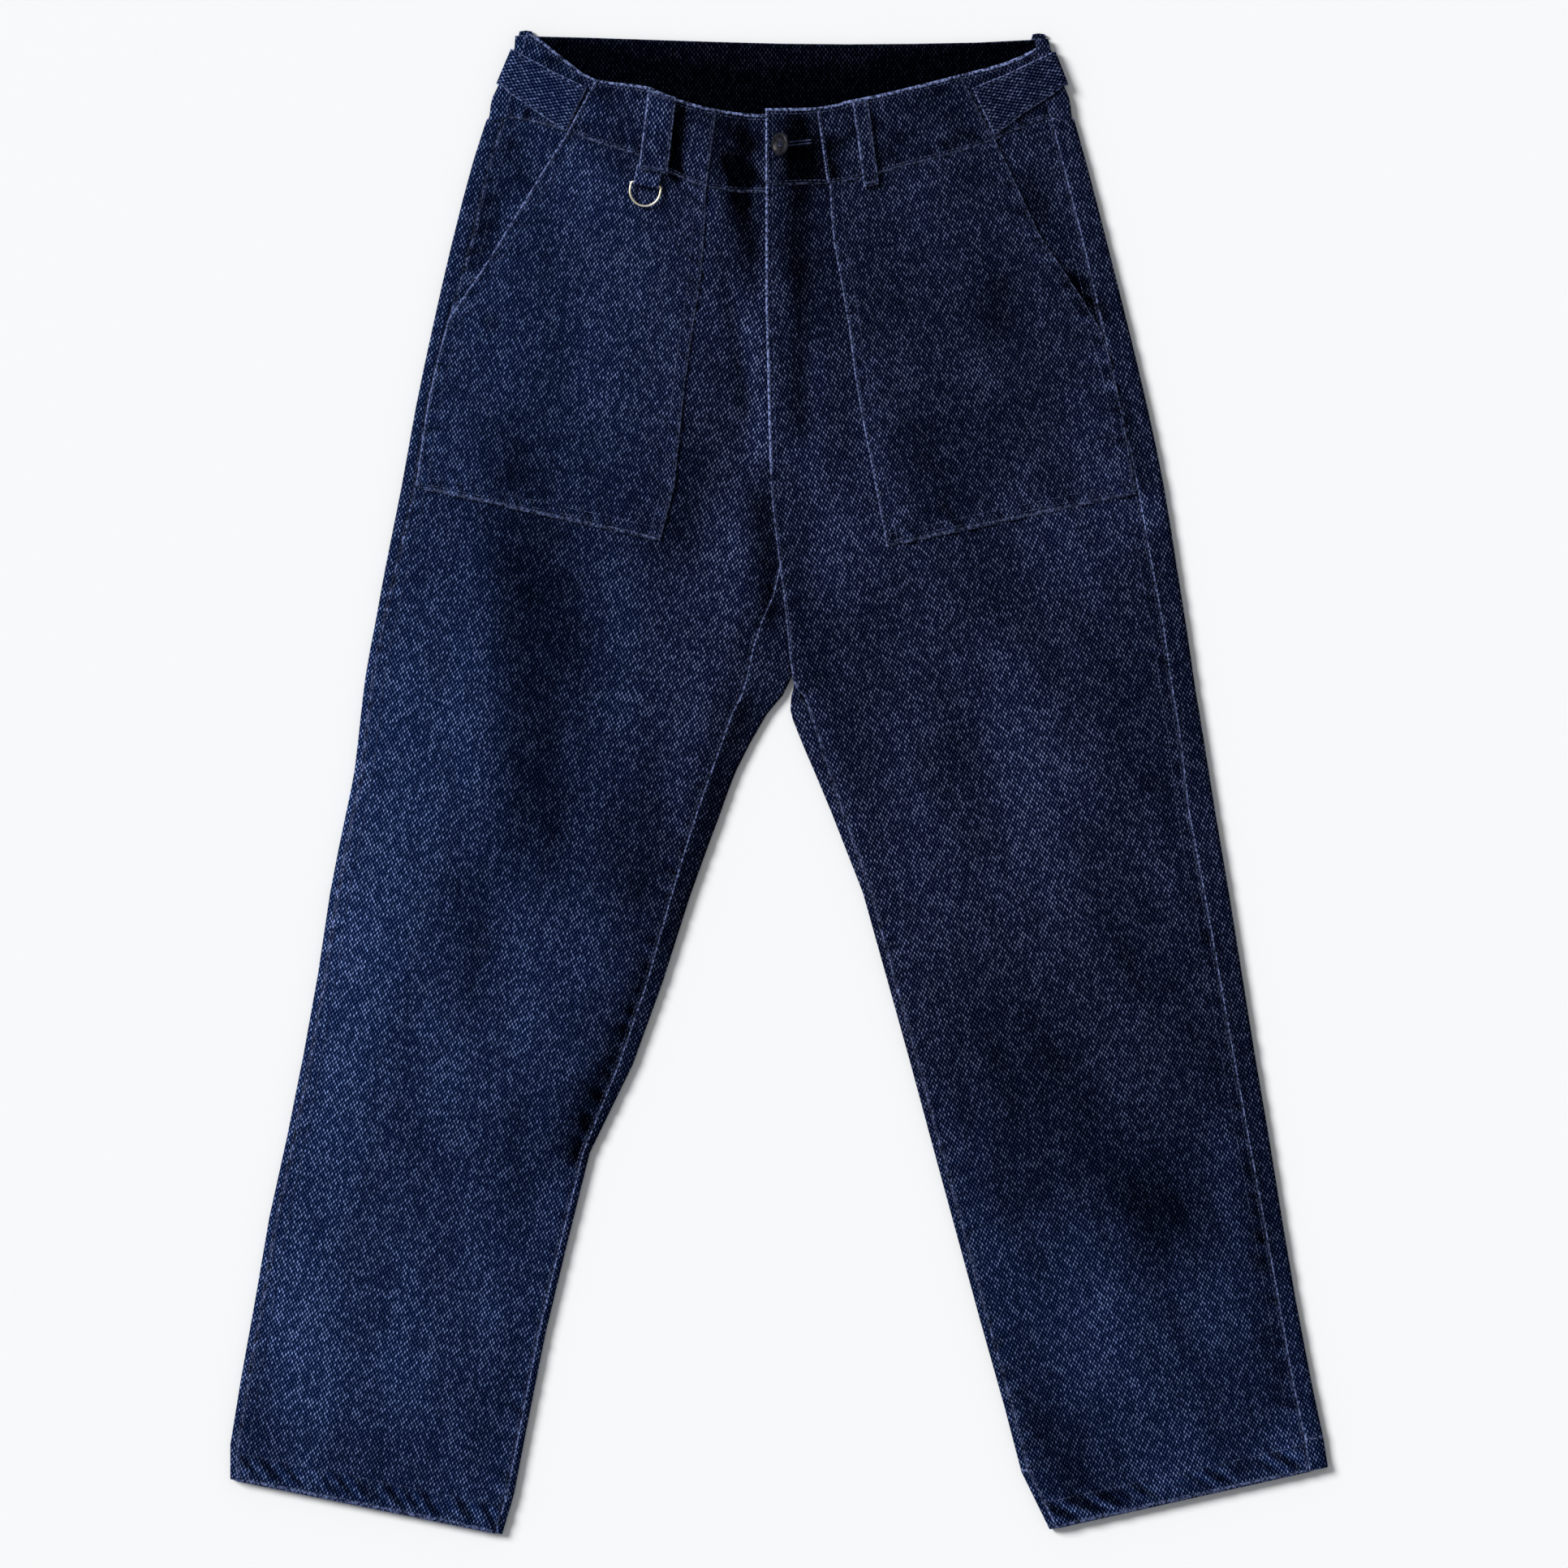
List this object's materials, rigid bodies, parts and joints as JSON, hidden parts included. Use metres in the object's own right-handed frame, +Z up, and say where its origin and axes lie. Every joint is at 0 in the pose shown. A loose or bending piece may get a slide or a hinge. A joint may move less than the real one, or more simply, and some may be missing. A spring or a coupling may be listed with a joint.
{
  "type": "baker pants",
  "caption": "Wide tapered cotton work trousers laid flat, with slanted patch pockets, a pieced waistband, cinch straps, belt loops, a hanging D-ring and one button",
  "frame": {"origin": "middle of the laid trousers on the surface that they lie on", "axes": "+X to the right of the picture, +Y from the hems to the waist, +Z up off the surface, with the front of the trousers facing up"},
  "size_m": [0.7436, 1.0187, 0.0312],
  "materials": {
    "denim": "deep indigo textured cotton, matt, soft rice-grain weave",
    "denim_face": "the same cloth on the raised pieces, slightly paler from wear, with pale thread lines",
    "ring_metal": "antique brass wire, polished, darker in its creases",
    "button_horn": "dark grey horn-like button, satin, with a broad rim"
  },
  "bodies": {
    "trousers": {"back_left": "denim", "back_right": "denim", "front_left": "denim", "front_right": "denim", "pocket_left": "denim_face", "pocket_right": "denim_face", "waistband_back": "denim", "waistband_side_left": "denim_face", "waistband_pocket_left": "denim_face", "waistband_centre_left": "denim_face", "waistband_centre_right": "denim_face", "waistband_pocket_right": "denim_face", "waistband_side_right": "denim_face", "strap_left": "denim_face", "strap_right": "denim_face", "belt_loop_left": "denim_face", "belt_loop_right": "denim_face", "loop_end_left": "denim", "loop_end_right": "denim", "ring_tab": "denim_face", "button": "button_horn"},
    "d_ring": {"d_ring": "ring_metal"}
  },
  "joints": [
    {"name": "ring_swing", "type": "hinge", "parent": "trousers", "child": "d_ring", "pos_m": [-0.0887, 0.4046, 0.01659], "axis": [-0.9816, 0.1908, 0], "range_deg": [0, 150]}
  ]
}
